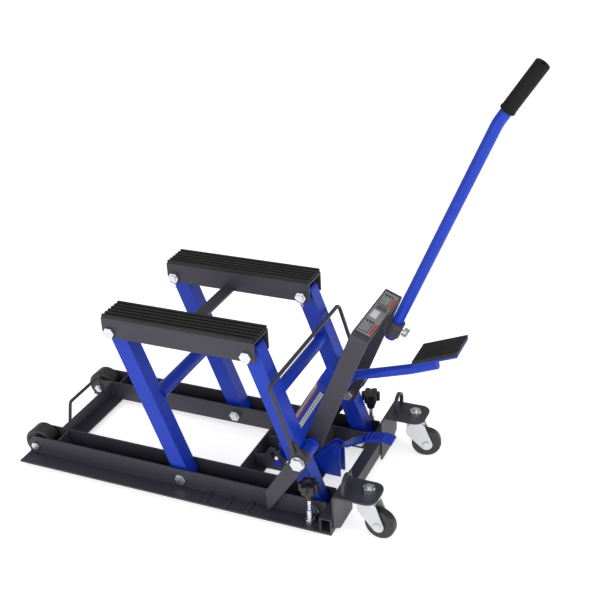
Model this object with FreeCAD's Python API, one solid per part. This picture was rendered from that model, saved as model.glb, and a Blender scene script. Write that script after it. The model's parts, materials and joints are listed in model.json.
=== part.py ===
import FreeCAD, Part
import math
import os

V = FreeCAD.Vector

# All sizes are in millimetres and all angles in degrees.
# X runs along the rails to the pull handle, Y across the lift, Z up.
# "near" is the -Y side and "far" the +Y side.
NEAR = -1
FAR = 1
SIDES = (NEAR, FAR)

# The drawing's zero is the rails' rear end and underside.
# Every finished shape is moved so that zero is on the floor, under the middle.
MOVE_TO_ORIGIN = V(-579.1, 0, 14)
FLOOR_Z = -14

# Fits
RUNNING = 0.06
LOOSE = 0.3
GAP = 0.4

# Rails: each is two angle sections welded into a channel with an outer foot flange.
RAIL_END = 782
FLANGE_END = 809
PLATE = 4
FLANGE_EDGE = 214
OUTER_WALL = (166, 170)
INNER_WALL = (112, 116)
WALL_TOP = 48
WEB_START = 66
BAFFLE_X = 78
BAFFLE_TOP = 45

# Crossbars
REAR_BAR_X = 54
MIDDLE_BAR_X = 540
SECOND_BAR_X = 679
BAR_LEG = 31
BAR_TOP = 42
FRONT_TUBE_TOP = 40
FRONT_TUBE_WALL = 2.5

# Rear loop for a strap
LOOP_ROD = 4
LOOP_FOOT_Y = 75
LOOP_TOP_Y = 62
LOOP_TOP_Z = 90

# Rollers
ROLLER_X = 20
ROLLER_Z = 23
ROLLER_RADIUS = 37
ROLLER_FACES = (121, 161)
AXLE = 6

# Lift arms: square tubes on parallel pivots
BOLT = 8
HEX_ACROSS = 24
REAR_PIVOT = (421, 24)
FRONT_PIVOT = (752, 24)
ARM_LEAN = -20
ARM_LENGTH = 387.3
ARM_HALF = 19.25
ARM_WALL = 3
ARM_Y = 142.5
SLEEVE = 12

# Stirrup pivot, also the pivot of the lock legs
STIRRUP_PIVOT = (729.1, 154)
STUB_RADIUS = 16
STUB_FACES = (110.6, 162.4)
PIN_END = 92
PIN_HEAD = (193.6, 201)

# Lock frame
LOCK_HUB = 19
LOCK_HUB_FACES = (163, 182)
LOCK_PLATE = (182, 189)
LOCK_TIP = (648.2, 4.8)
LOCK_HEEL = (645.6, 58)
LOCK_STOP_X = (499, 552, 605)
WASHER_FACES = (189.6, 193.2)
BAIL_ROD = 4.5
BAIL_Y = 193.6
BAIL_TOP = (675, 335)

# Saddle: two inverted channels with ribbed pads
BEAM_X = (269.6, 639)
BEAM_Y = (109.5, 179.8)
BEAM_Z = (375, 421.5)
PAD_TOP = 429.5
PAD_BASE = 4
PAD_RIBS = 6
PAD_RIB_WIDTH = 7

# Stirrup: a portal of flat bar, drawn upright from its pivot and then leaned
STIRRUP_LEAN = 22.3
LEG_FACES = (104, 110)
LEG_HALF = 20
LEG_TOP = 288
STIRRUP_TOP = 306
RAM_PIN_ALONG = 282.1
RAM_PIN = 6

# Jack, drawn upright from its foot pin and then leaned
JACK_FOOT = (608, 25)
JACK_RADIUS = 32
JACK_BASE = 36
JACK_COLLAR = 255
JACK_TOP = 300
RAM_RADIUS = 10
RAM_LENGTH = 170
BORE_FLOOR = 150
FOOT_PIN = 6
SLOT_ANGLE = 125.6
SLOT_LENGTH = 25.7
SLOT_HALF = 7.2
SLOT_SHIFT = (0.53, 0.38)
FOOT_LUG_FACES = (36, 42)

# Foot pump pedal
PEDAL_PIVOT = (765, 278)
PEDAL_CHEEK = (-38, -33)
PEDAL_TUBE = 11
PEDAL_TUBE_Y = -32
PEDAL_PATH = ((806, 298), (852, 311), (926, 334.5), (985, 358))
PAD_REAR = (932, 350.5)
PAD_FRONT = (1029, 389.5)
PEDAL_HALF = 40

# Release pedal
RELEASE_PIVOT = (738, 72)
RELEASE_PATH = ((742, 78), (784, 103), (821, 122), (858, 128), (877, 124))
RELEASE_HALF = 17
RELEASE_RIBS = 6

# Handle
HANDLE_FOOT = (870.5, 385)
HANDLE_BEND = (1086, 874)
HANDLE_END = (1160.6, 985.8)
HANDLE_RADIUS = 12
SOCKET_SPAN = (9, 45)
SOCKET_RADIUS = 17
GRIP_RADIUS = 15
GRIP_LENGTH = 104

# Casters
SWIVEL_X = 876
SWIVEL_Y = 157
TRAIL = 26
WHEEL_RADIUS = 35
WHEEL_HALF = 12
SWING = {NEAR: -6, FAR: 17}
DECK_TOP = 94
DECK_END = 903
CASTER_PLATE_X = (809, 813)
ARCH_X = (826, 834)
ARCH_Y = 170
ARCH_RADIUS = 24
ARCH_STRAP = 5
ARCH_TOP = 136

# Floor screws
SCREW_X = 751.5
SCREW_Y = 192
SCREW_RADIUS = 5
SCREW_Z = (2, 84)
KNOB_Z = (68, 90, 110)
KNOB_LOBES = 6

PARTS = {}


def node(name, *shapes):
    """Keep one finished sub-part, made of one or more separate solids."""
    solids = []
    for shape in shapes:
        solids.extend(shape.removeSplitter().Solids)
    PARTS[name] = Part.makeCompound(solids)


def fuse(first, *others):
    return first.multiFuse(list(others))


def box(x_span, y_span, z_span):
    sizes = [span[1] - span[0] for span in (x_span, y_span, z_span)]
    return Part.makeBox(*sizes, V(x_span[0], y_span[0], z_span[0]))


def side_span(side, faces):
    """The span in Y of two distances from the mid-plane, on one side."""
    return tuple(sorted(side * face for face in faces))


def side_box(side, x_span, faces, z_span):
    return box(x_span, side_span(side, faces), z_span)


def rod(radius, start, end):
    way = end - start
    return Part.makeCylinder(radius, way.Length, start, way)


def cross_rod(radius, place, y_span):
    """A cylinder along Y through a place given as (x, z)."""
    return rod(radius, V(place[0], y_span[0], place[1]), V(place[0], y_span[1], place[1]))


def upright(radius, place, z_span):
    """A cylinder along Z through a place given as (x, y)."""
    return rod(radius, V(place[0], place[1], z_span[0]), V(place[0], place[1], z_span[1]))


def prism(outline, way):
    return Part.Face(Part.makePolygon(outline + [outline[0]])).extrude(way)


def side_plate(points, y_span):
    """A plate drawn in side view and given its thickness along Y."""
    outline = [V(x, y_span[0], z) for x, z in points]
    return prism(outline, V(0, y_span[1] - y_span[0], 0))


def link(start, end, start_radius, end_radius, y_span):
    """A side-view plate around two discs, with straight tangent edges."""
    way = V(end[0] - start[0], 0, end[1] - start[1])
    middle = math.atan2(way.z, way.x)
    half = math.acos((start_radius - end_radius) / way.Length)
    corners = []
    for place, radius, sign in ((start, start_radius, 1), (end, end_radius, 1),
                                (end, end_radius, -1), (start, start_radius, -1)):
        angle = middle + sign * half
        corners.append((place[0] + radius * math.cos(angle), place[1] + radius * math.sin(angle)))
    return fuse(side_plate(corners, y_span),
                cross_rod(start_radius, start, y_span),
                cross_rod(end_radius, end, y_span))


def hex_cross(place, y_span, across=HEX_ACROSS):
    """A hexagon bar along Y."""
    radius = across / math.sqrt(3)
    points = []
    for corner in range(6):
        angle = math.radians(60 * corner)
        points.append((place[0] + radius * math.cos(angle), place[1] + radius * math.sin(angle)))
    return side_plate(points, y_span)


def hex_upright(place, z_span, across=HEX_ACROSS):
    """A hexagon bar along Z."""
    radius = across / math.sqrt(3)
    points = []
    for corner in range(6):
        angle = math.radians(60 * corner)
        points.append(V(place[0] + radius * math.cos(angle), place[1] + radius * math.sin(angle), z_span[0]))
    return prism(points, V(0, 0, z_span[1] - z_span[0]))


def rounded_path(points, bend):
    """A wire of straight runs joined by arcs of one bend radius."""
    edges = []
    last = points[0]
    for before, corner, after in zip(points, points[1:], points[2:]):
        back = (before - corner).normalize()
        ahead = (after - corner).normalize()
        half = back.getAngle(ahead) / 2
        reach = bend / math.tan(half)
        middle = (back + ahead).normalize()
        first = corner + back * reach
        second = corner + ahead * reach
        crown = corner + middle * (bend / math.sin(half) - bend)
        edges.append(Part.makeLine(last, first))
        edges.append(Part.Arc(first, crown, second).toShape())
        last = second
    edges.append(Part.makeLine(last, points[-1]))
    return Part.Wire(edges)


def bent_rod(points, radius, bend):
    way = points[1] - points[0]
    profile = Part.Wire(Part.makeCircle(radius, points[0], way))
    return rounded_path(points, bend).makePipeShell([profile], True, True)


def bent_tube(points, radius, wall, bend):
    return bent_rod(points, radius, bend).cut(bent_rod(points, radius - wall, bend))


def side_points(places, y=0):
    return [V(x, y, z) for x, z in places]


def strap(places, thickness, y_span):
    """A bent flat strap in side view, from its top line."""
    lower = [(x, z - thickness) for x, z in reversed(places)]
    return side_plate(list(places) + lower, y_span)


def leaned(shape, degrees, place):
    """Lean an upright shape towards +X, about Y, and put its origin at (x, z)."""
    shape = shape.copy()
    shape.rotate(V(0, 0, 0), V(0, 1, 0), degrees)
    shape.translate(V(place[0], 0, place[1]))
    return shape


def along_lean(place, degrees, along, across=0):
    """The (x, z) reached from a place along a leaned line and across it."""
    angle = math.radians(degrees)
    x = place[0] + along * math.sin(angle) + across * math.cos(angle)
    z = place[1] + along * math.cos(angle) - across * math.sin(angle)
    return (x, z)


def through_bolt(side, place, outside, inside, radius=BOLT, across=HEX_ACROSS, head=7, nut=9):
    """A bolt along Y with its head outside and its nut inside, as one solid."""
    shank = cross_rod(radius, place, side_span(side, (inside - nut - 3, outside)))
    cap = hex_cross(place, side_span(side, (outside, outside + head)), across)
    holder = hex_cross(place, side_span(side, (inside - nut, inside)), across)
    return fuse(shank, cap, holder)


# ---- Base ----

def rail_holes():
    holes = []
    for place, radius in ((REAR_PIVOT, BOLT), (FRONT_PIVOT, BOLT), ((ROLLER_X, ROLLER_Z), AXLE)):
        holes.append(cross_rod(radius + LOOSE, place, (-FLANGE_EDGE, FLANGE_EDGE)))
    return holes


def rail_outer(side):
    wall = side_plate([(0, 0), (RAIL_END, 0), (RAIL_END, WALL_TOP), (12, WALL_TOP), (0, 34)],
                      side_span(side, OUTER_WALL))
    flange = side_box(side, (0, FLANGE_END), (OUTER_WALL[1], FLANGE_EDGE), (0, PLATE))
    screw_hole = upright(SCREW_RADIUS + LOOSE, (SCREW_X, side * SCREW_Y), (-1, PLATE + 1))
    return fuse(wall, flange).cut(rail_holes() + [screw_hole])


def rail_inner(side):
    wall = side_plate([(0, 0), (RAIL_END, 0), (RAIL_END, WALL_TOP), (12, WALL_TOP), (0, 34)],
                      side_span(side, INNER_WALL))
    web = side_box(side, (WEB_START, RAIL_END), (INNER_WALL[1], OUTER_WALL[0]), (0, PLATE))
    return fuse(wall, web).cut(rail_holes())


def roller_baffle(side):
    return side_box(side, (BAFFLE_X, BAFFLE_X + PLATE), (INNER_WALL[1], OUTER_WALL[0]), (PLATE, BAFFLE_TOP))


def angle_crossbar(x):
    span = (-INNER_WALL[0], INNER_WALL[0])
    upright_leg = box((x, x + PLATE), span, (0, BAR_TOP))
    flat_leg = box((x + PLATE, x + PLATE + BAR_LEG), span, (0, PLATE))
    return fuse(upright_leg, flat_leg)


def front_crossbar():
    reach = FLANGE_EDGE - 1
    tube = box((RAIL_END, FLANGE_END), (-reach, reach), (PLATE, FRONT_TUBE_TOP))
    hollow = box((RAIL_END + FRONT_TUBE_WALL, FLANGE_END - FRONT_TUBE_WALL), (-FLANGE_EDGE, FLANGE_EDGE),
                 (PLATE + FRONT_TUBE_WALL, FRONT_TUBE_TOP - FRONT_TUBE_WALL))
    return tube.cut(hollow)


def rear_loop():
    x = REAR_BAR_X + PLATE / 2
    points = [V(x, -LOOP_FOOT_Y, BAR_TOP), V(x, -LOOP_TOP_Y, LOOP_TOP_Z),
              V(x, LOOP_TOP_Y, LOOP_TOP_Z), V(x, LOOP_FOOT_Y, BAR_TOP)]
    loop = bent_rod(points, LOOP_ROD, 9)
    return loop.cut(box((x - 20, x + 20), (-FLANGE_EDGE, FLANGE_EDGE), (0, BAR_TOP)))


def lock_stops():
    return [side_box(side, (x - 4, x + 4), (174, 210), (PLATE, PLATE + 4))
            for side in SIDES for x in LOCK_STOP_X]


def caster_plate(side):
    face = [(205, DECK_TOP), (98, DECK_TOP), (98, -10), (170, -10), (205, 14)]
    outline = [V(CASTER_PLATE_X[0], side * y, z) for y, z in face]
    vertical = prism(outline, V(CASTER_PLATE_X[1] - CASTER_PLATE_X[0], 0, 0))
    deck = side_box(side, (CASTER_PLATE_X[1], DECK_END), (121, 201), (DECK_TOP - PLATE, DECK_TOP))
    corners = [edge for edge in deck.Edges
               if edge.Length < PLATE + 1 and edge.CenterOfMass.x > DECK_END - 1]
    deck = deck.makeFillet(24, corners)
    hole = upright(BOLT + LOOSE, (SWIVEL_X, side * SWIVEL_Y), (0, DECK_TOP + 5))
    return fuse(vertical, deck).cut(hole)


def arch_outline(side, radius):
    """A half circle on straight legs, drawn in the plane across the lift."""
    x = ARCH_X[0]
    middle = side * ARCH_Y
    spring = ARCH_TOP - ARCH_RADIUS
    feet = [V(x, middle + way * radius, DECK_TOP) for way in (-1, 1)]
    shoulders = [V(x, middle + way * radius, spring) for way in (-1, 1)]
    crown = V(x, middle, spring + radius)
    edges = [Part.makeLine(feet[0], shoulders[0]),
             Part.Arc(shoulders[0], crown, shoulders[1]).toShape(),
             Part.makeLine(shoulders[1], feet[1]),
             Part.makeLine(feet[1], feet[0])]
    return Part.Face(Part.Wire(edges)).extrude(V(ARCH_X[1] - x, 0, 0))


def tie_down_arch(side):
    return arch_outline(side, ARCH_RADIUS).cut(arch_outline(side, ARCH_RADIUS - ARCH_STRAP))


def roller_axle(side):
    return through_bolt(side, (ROLLER_X, ROLLER_Z), OUTER_WALL[1], INNER_WALL[0], AXLE, 19, 6, 7)


def arm_bolts(place):
    return [through_bolt(side, place, OUTER_WALL[1], INNER_WALL[0]) for side in SIDES]


def foot_bracket_lug(side):
    x = MIDDLE_BAR_X + PLATE
    outline = [(x, PLATE), (x, 36), (572, 40), (586, 62), (600, 62), (626, 30), (626, 10), (618, PLATE)]
    lug = side_plate(outline, side_span(side, FOOT_LUG_FACES))
    start = (JACK_FOOT[0] + SLOT_SHIFT[0], JACK_FOOT[1] + SLOT_SHIFT[1])
    angle = math.radians(SLOT_ANGLE)
    end = (start[0] + SLOT_LENGTH * math.cos(angle), start[1] + SLOT_LENGTH * math.sin(angle))
    return lug.cut(link(start, end, SLOT_HALF, SLOT_HALF, (-FLANGE_EDGE, FLANGE_EDGE)))


def release_cheek(side):
    x = SECOND_BAR_X + PLATE
    lower = side_plate([(x, PLATE), (x, 40), (728, 84), (752, 66), (752, PLATE)], side_span(side, (12, 16)))
    ear = cross_rod(15, RELEASE_PIVOT, side_span(side, (12, 16)))
    return fuse(lower, ear)


def release_bracket():
    pin = cross_rod(AXLE, RELEASE_PIVOT, (-19, 19))
    return fuse(release_cheek(NEAR), release_cheek(FAR), pin)


def floor_nut(side):
    place = (SCREW_X, side * SCREW_Y)
    nut = hex_upright(place, (PLATE, PLATE + 12), 19)
    sleeve = upright(8, place, (PLATE + 12, 40))
    return fuse(nut, sleeve).cut(upright(SCREW_RADIUS + RUNNING, place, (0, 50)))


def kingpin(side):
    place = (SWIVEL_X, side * SWIVEL_Y)
    shank = upright(BOLT, place, (72, DECK_TOP))
    head = hex_upright(place, (DECK_TOP, DECK_TOP + 12))
    tip = upright(BOLT - 2, place, (DECK_TOP + 12, DECK_TOP + 17))
    keeper = upright(13, place, (72, 78.6))
    return fuse(shank, head, tip, keeper)


def make_base():
    node("rail_outer", rail_outer(NEAR), rail_outer(FAR))
    node("rail_inner", rail_inner(NEAR), rail_inner(FAR))
    node("roller_baffles", roller_baffle(NEAR), roller_baffle(FAR))
    node("crossbar_rear", angle_crossbar(REAR_BAR_X))
    node("crossbar_middle", angle_crossbar(MIDDLE_BAR_X))
    node("crossbar_second", angle_crossbar(SECOND_BAR_X))
    node("crossbar_front", front_crossbar())
    node("rear_loop", rear_loop())
    node("lock_stops", *lock_stops())
    node("caster_plates", caster_plate(NEAR), caster_plate(FAR))
    node("tie_down_arches", tie_down_arch(NEAR), tie_down_arch(FAR))
    node("roller_axles", roller_axle(NEAR), roller_axle(FAR))
    node("rear_pivot_bolts", *arm_bolts(REAR_PIVOT))
    node("front_pivot_bolts", *arm_bolts(FRONT_PIVOT))
    node("jack_foot_bracket", foot_bracket_lug(NEAR), foot_bracket_lug(FAR))
    node("release_bracket", release_bracket())
    node("floor_nuts", floor_nut(NEAR), floor_nut(FAR))
    node("caster_kingpins", kingpin(NEAR), kingpin(FAR))


# ---- Rollers, casters and floor screws ----

def roller(side):
    place = (ROLLER_X, ROLLER_Z)
    span = side_span(side, ROLLER_FACES)
    body = cross_rod(ROLLER_RADIUS, place, span)
    rims = [edge for edge in body.Edges if edge.Closed]
    body = body.makeFillet(3, rims)
    dishes = []
    for face, depth in ((span[0], 4), (span[1], -4)):
        dishes.append(cross_rod(28, place, (face, face + depth)).cut(cross_rod(13, place, (face, face + depth))))
    return body.cut(dishes + [cross_rod(AXLE + RUNNING, place, span)])


def caster_wheel():
    """A wheel on its axle line, trailing along +X from a swivel at the origin."""
    place = (TRAIL, FLOOR_Z + WHEEL_RADIUS)
    span = (-WHEEL_HALF, WHEEL_HALF)
    tyre = cross_rod(WHEEL_RADIUS, place, span)
    tyre = tyre.makeFillet(6, [edge for edge in tyre.Edges if edge.Closed])
    hub = cross_rod(9, place, (-WHEEL_HALF - 1.5, WHEEL_HALF + 1.5))
    return fuse(tyre, hub).cut(cross_rod(AXLE + RUNNING, place, (-20, 20)))


def caster_fork():
    """A fork with its axle, trailing along +X from a swivel at the origin."""
    axle_place = (TRAIL, FLOOR_Z + WHEEL_RADIUS)
    race = upright(24, (0, 0), (83, 89.6))
    crown = box((-22, 23), (-17.5, 17.5), (79, 83))
    legs = [link((1, 60), axle_place, 23, 14, side_span(side, (14.5, 17.5))) for side in SIDES]
    axle = cross_rod(AXLE, axle_place, (-17.5, 17.5))
    caps = [cross_rod(8.5, axle_place, side_span(side, (17.5, 21))) for side in SIDES]
    fork = fuse(race, crown, axle, *legs, *caps)
    return fork.cut(upright(BOLT + RUNNING, (0, 0), (70, 95)))


def swivelled(shape, side):
    shape = shape.copy()
    shape.rotate(V(0, 0, 0), V(0, 0, 1), SWING[side])
    shape.translate(V(SWIVEL_X, side * SWIVEL_Y, 0))
    return shape


def knob(side):
    place = (SCREW_X, side * SCREW_Y)
    bottom, shoulder, top = KNOB_Z
    neck = Part.makeCone(9, 15, shoulder - bottom, V(place[0], place[1], bottom))
    core = upright(16, place, (shoulder, top))
    lobes = []
    for lobe in range(KNOB_LOBES):
        angle = math.radians(360 / KNOB_LOBES * lobe + 15)
        centre = (place[0] + 15.5 * math.cos(angle), place[1] + 15.5 * math.sin(angle))
        lobes.append(upright(7, centre, (shoulder, top)))
    dish = Part.makeCone(6, 13, 4, V(place[0], place[1], top - 4))
    return fuse(neck, core, *lobes).cut([dish, upright(SCREW_RADIUS + RUNNING, place, (0, SCREW_Z[1] + 1))])


def make_running_gear():
    for side, name in ((NEAR, "near"), (FAR, "far")):
        node("roller_" + name, roller(side))
        node("caster_fork_" + name, swivelled(caster_fork(), side))
        node("caster_wheel_" + name, swivelled(caster_wheel(), side))
        node("floor_screw_" + name, upright(SCREW_RADIUS, (SCREW_X, side * SCREW_Y), SCREW_Z))
        node("floor_knob_" + name, knob(side))


# ---- Arms and saddle ----

def arm(side, pivot):
    """A square tube with rounded ends and a sleeve at each pivot."""
    y_middle = side * ARM_Y
    span = (y_middle - ARM_HALF, y_middle + ARM_HALF)
    inner = ARM_HALF - ARM_WALL
    ends = ((0, 0), (0, ARM_LENGTH))
    tube = link(*ends, ARM_HALF, ARM_HALF, span)
    hollow = box((-inner, inner), (y_middle - inner, y_middle + inner), (-30, ARM_LENGTH + 30))
    sleeves = [cross_rod(SLEEVE, end, span) for end in ends]
    bores = [cross_rod(BOLT + RUNNING, end, span) for end in ends]
    return leaned(fuse(tube.cut(hollow), *sleeves).cut(bores), ARM_LEAN, pivot)


def cross_tube(place, radius, wall):
    reach = ARM_Y - ARM_HALF
    return cross_rod(radius, place, (-reach, reach)).cut(cross_rod(radius - wall, place, (-reach, reach)))


def make_arms():
    for side, name in ((NEAR, "near"), (FAR, "far")):
        notch = cross_rod(STUB_RADIUS, STIRRUP_PIVOT, side_span(side, (0, FLANGE_EDGE)))
        node("front_arm_" + name, arm(side, FRONT_PIVOT).cut(notch))
        node("rear_arm_" + name, arm(side, REAR_PIVOT))
    node("front_cross_tube", cross_tube(along_lean(FRONT_PIVOT, ARM_LEAN, 272), 14, 3))
    node("rear_cross_tube", cross_tube(along_lean(REAR_PIVOT, ARM_LEAN, 199, 7), 16.5, 3))
    stubs = []
    pins = []
    for side in SIDES:
        stub = cross_rod(STUB_RADIUS, STIRRUP_PIVOT, side_span(side, STUB_FACES))
        stubs.append(stub.cut(cross_rod(BOLT, STIRRUP_PIVOT, side_span(side, STUB_FACES))))
        shank = cross_rod(BOLT, STIRRUP_PIVOT, side_span(side, (PIN_END, PIN_HEAD[0])))
        head = hex_cross(STIRRUP_PIVOT, side_span(side, PIN_HEAD), 26)
        keeper = hex_cross(STIRRUP_PIVOT, side_span(side, (PIN_END + 2, LEG_FACES[0] - GAP)))
        pins.append(fuse(shank, head, keeper))
    node("stirrup_stubs", *stubs)
    node("stirrup_pins", *pins)


def saddle_pivots():
    return [along_lean(pivot, ARM_LEAN, ARM_LENGTH) for pivot in (REAR_PIVOT, FRONT_PIVOT)]


def saddle_beam(side):
    span = side_span(side, BEAM_Y)
    corner = 14
    outline = [(BEAM_X[0], BEAM_Z[1]), (BEAM_X[0], BEAM_Z[0] + corner), (BEAM_X[0] + corner, BEAM_Z[0]),
               (BEAM_X[1], BEAM_Z[0]), (BEAM_X[1], BEAM_Z[1])]
    beam = side_plate(outline, span)
    hollow = box((BEAM_X[0] - 5, BEAM_X[1] + 5), (span[0] + PLATE, span[1] - PLATE),
                 (BEAM_Z[0] - 5, BEAM_Z[1] - PLATE))
    holes = [cross_rod(BOLT + LOOSE, place, span) for place in saddle_pivots()]
    return beam.cut([hollow] + holes)


def saddle_pad(side):
    span = side_span(side, BEAM_Y)
    x_span = (BEAM_X[0] + 3, BEAM_X[1] - 2)
    mat = box(x_span, span, (BEAM_Z[1], BEAM_Z[1] + PAD_BASE))
    pitch = (span[1] - span[0] - PAD_RIB_WIDTH) / (PAD_RIBS - 1)
    ribs = []
    for rib in range(PAD_RIBS):
        low = span[0] + rib * pitch
        ribs.append(box(x_span, (low, low + PAD_RIB_WIDTH), (BEAM_Z[1] + PAD_BASE, PAD_TOP)))
    return fuse(mat, *ribs)


def make_saddle():
    for side, name in ((NEAR, "near"), (FAR, "far")):
        node("saddle_beam_" + name, saddle_beam(side))
    node("saddle_pads", saddle_pad(NEAR), saddle_pad(FAR))
    reach = BEAM_Y[0]
    node("saddle_tie_bar", box((420, 450), (-reach, reach), (379, 385)))
    bolts = []
    for side in SIDES:
        for place in saddle_pivots():
            bolts.append(through_bolt(side, place, BEAM_Y[1], BEAM_Y[0]))
    node("saddle_pivot_bolts", *bolts)


# ---- Lock frame ----

def tangent_point(centre, radius, point, sign):
    """The touching point of a tangent from an outside point to a circle."""
    way = (point[0] - centre[0], point[1] - centre[1])
    distance = math.hypot(*way)
    angle = math.atan2(way[1], way[0]) + sign * math.acos(radius / distance)
    return (centre[0] + radius * math.cos(angle), centre[1] + radius * math.sin(angle))


def lock_leg(side):
    plate_span = side_span(side, LOCK_PLATE)
    lower = tangent_point(STIRRUP_PIVOT, LOCK_HUB, LOCK_TIP, 1)
    upper = tangent_point(STIRRUP_PIVOT, LOCK_HUB, LOCK_HEEL, -1)
    blade = side_plate([STIRRUP_PIVOT, lower, LOCK_TIP, LOCK_HEEL, upper], plate_span)
    hub = cross_rod(LOCK_HUB, STIRRUP_PIVOT, side_span(side, (LOCK_HUB_FACES[0], LOCK_PLATE[1])))
    tab = link(STIRRUP_PIVOT, bail_root(42), LOCK_HUB, 8, plate_span)
    leg = fuse(blade, hub, tab)
    return leg.cut(cross_rod(BOLT + RUNNING, STIRRUP_PIVOT, side_span(side, (150, 200))))


def bail_root(reach):
    way = (BAIL_TOP[0] - STIRRUP_PIVOT[0], BAIL_TOP[1] - STIRRUP_PIVOT[1])
    length = math.hypot(*way)
    return (STIRRUP_PIVOT[0] + way[0] * reach / length, STIRRUP_PIVOT[1] + way[1] * reach / length)


def lock_bail():
    root = bail_root(24)
    points = [V(root[0], -BAIL_Y, root[1]), V(BAIL_TOP[0], -BAIL_Y, BAIL_TOP[1]),
              V(BAIL_TOP[0], BAIL_Y, BAIL_TOP[1]), V(root[0], BAIL_Y, root[1])]
    return bent_rod(points, BAIL_ROD, 14)


def lock_washer(side):
    span = side_span(side, WASHER_FACES)
    return cross_rod(16, STIRRUP_PIVOT, span).cut(cross_rod(BOLT + RUNNING, STIRRUP_PIVOT, span))


def make_lock():
    node("lock_washers", lock_washer(NEAR), lock_washer(FAR))
    node("lock_legs", lock_leg(NEAR), lock_leg(FAR))
    node("lock_bail", lock_bail())


# ---- Stirrup and handle ----

def stirrup_leg(side):
    span = side_span(side, LEG_FACES)
    leg = fuse(box((-LEG_HALF, LEG_HALF), span, (0, LEG_TOP)), cross_rod(LEG_HALF, (0, 0), span))
    return leaned(leg.cut(cross_rod(BOLT + RUNNING, (0, 0), span)), STIRRUP_LEAN, STIRRUP_PIVOT)


def rounded_cap(half, top, corner):
    """A block across the stirrup with its two top edges rounded."""
    block = box((-LEG_HALF, LEG_HALF), (-half, half), (LEG_TOP, top))
    edges = [edge for edge in block.Edges
             if edge.CenterOfMass.z > top - 0.1 and abs(edge.CenterOfMass.y) > half - 0.1]
    return block.makeFillet(corner, edges)


def stirrup_head():
    outer = rounded_cap(LEG_FACES[1], STIRRUP_TOP, 12)
    inner = rounded_cap(LEG_FACES[0], STIRRUP_TOP - 6, 6)
    return leaned(outer.cut(inner), STIRRUP_LEAN, STIRRUP_PIVOT)


def ram_clevis():
    lugs = []
    for side in SIDES:
        span = side_span(side, (12, 18))
        lugs.append(link((0, RAM_PIN_ALONG), (0, STIRRUP_TOP - 6), 13, 13, span))
    clevis = fuse(cross_rod(RAM_PIN, (0, RAM_PIN_ALONG), (-20, 20)), *lugs)
    clevis = clevis.common(box((-30, 30), (-30, 30), (0, STIRRUP_TOP - 6)))
    return leaned(clevis, STIRRUP_LEAN, STIRRUP_PIVOT)


def handle_lean():
    return math.degrees(math.atan2(HANDLE_BEND[0] - HANDLE_FOOT[0], HANDLE_BEND[1] - HANDLE_FOOT[1]))


def on_handle(along):
    x, z = along_lean(HANDLE_FOOT, handle_lean(), along)
    return V(x, 0, z)


def handle_socket(head):
    barrel = rod(SOCKET_RADIUS, on_handle(SOCKET_SPAN[0]), on_handle(SOCKET_SPAN[1]))
    middle = on_handle(sum(SOCKET_SPAN) / 2)
    rib = link((861, 425), (middle.x, middle.z), 6, 14, (-12, 12))
    bore = rod(HANDLE_RADIUS + RUNNING, on_handle(0), on_handle(60))
    return fuse(barrel, rib).cut([bore, head, clamp_hole()])


def clamp_line(reach):
    """A point on the clamp screw's axis, square to the handle on its front."""
    middle = sum(SOCKET_SPAN) / 2
    x, z = along_lean(HANDLE_FOOT, handle_lean(), middle, reach)
    return V(x, 0, z)


def clamp_hole():
    return rod(4 + RUNNING, clamp_line(8), clamp_line(30))


def clamp_screw():
    shank = rod(4, clamp_line(HANDLE_RADIUS + GAP), clamp_line(24))
    hub = rod(7, clamp_line(19), clamp_line(27))
    start = clamp_line(22)
    wing = Part.makeBox(5, 34, 12, V(-2.5, -17, -6))
    wing.rotate(V(0, 0, 0), V(0, 1, 0), handle_lean() + 90)
    wing.translate(start + (clamp_line(26) - start) * 0.8)
    return fuse(shank, hub, wing)


def handle_tube():
    points = side_points((HANDLE_FOOT, HANDLE_BEND, HANDLE_END))
    return bent_tube(points, HANDLE_RADIUS, 2.5, 110)


def handle_grip():
    end = V(HANDLE_END[0], 0, HANDLE_END[1])
    way = (end - V(HANDLE_BEND[0], 0, HANDLE_BEND[1])).normalize()
    sleeve = rod(GRIP_RADIUS, end - way * GRIP_LENGTH, end + way * 5)
    sleeve = sleeve.makeFillet(2, [edge for edge in sleeve.Edges if edge.Closed])
    return sleeve.cut([rod(HANDLE_RADIUS, end - way * (GRIP_LENGTH + 5), end), rod(5, end - way, end + way * 9)])


def make_stirrup():
    head = stirrup_head()
    node("stirrup_legs", stirrup_leg(NEAR), stirrup_leg(FAR))
    node("stirrup_head", head)
    node("ram_clevis", ram_clevis())
    node("handle_socket", handle_socket(head))
    node("clamp_screw", clamp_screw())
    node("handle_tube", handle_tube())
    node("handle_grip", handle_grip())


# ---- Jack ----

def jack_way():
    """From the foot pin to the ram pin."""
    x, z = along_lean(STIRRUP_PIVOT, STIRRUP_LEAN, RAM_PIN_ALONG)
    return (x - JACK_FOOT[0], z - JACK_FOOT[1])


def jack_length():
    return math.hypot(*jack_way())


def jack_leaned(shape):
    return leaned(shape, math.degrees(math.atan2(*jack_way())), JACK_FOOT)


def jack_ram():
    pin = jack_length()
    stem = upright(RAM_RADIUS, (0, 0), (pin - RAM_LENGTH, pin))
    eye = cross_rod(13, (0, pin), (-11.5, 11.5))
    return fuse(stem, eye).cut(cross_rod(RAM_PIN + RUNNING, (0, pin), (-20, 20)))


def jack_cylinder():
    barrel = upright(JACK_RADIUS, (0, 0), (JACK_BASE, JACK_COLLAR))
    return barrel.cut(upright(RAM_RADIUS + RUNNING, (0, 0), (BORE_FLOOR, JACK_TOP)))


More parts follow.
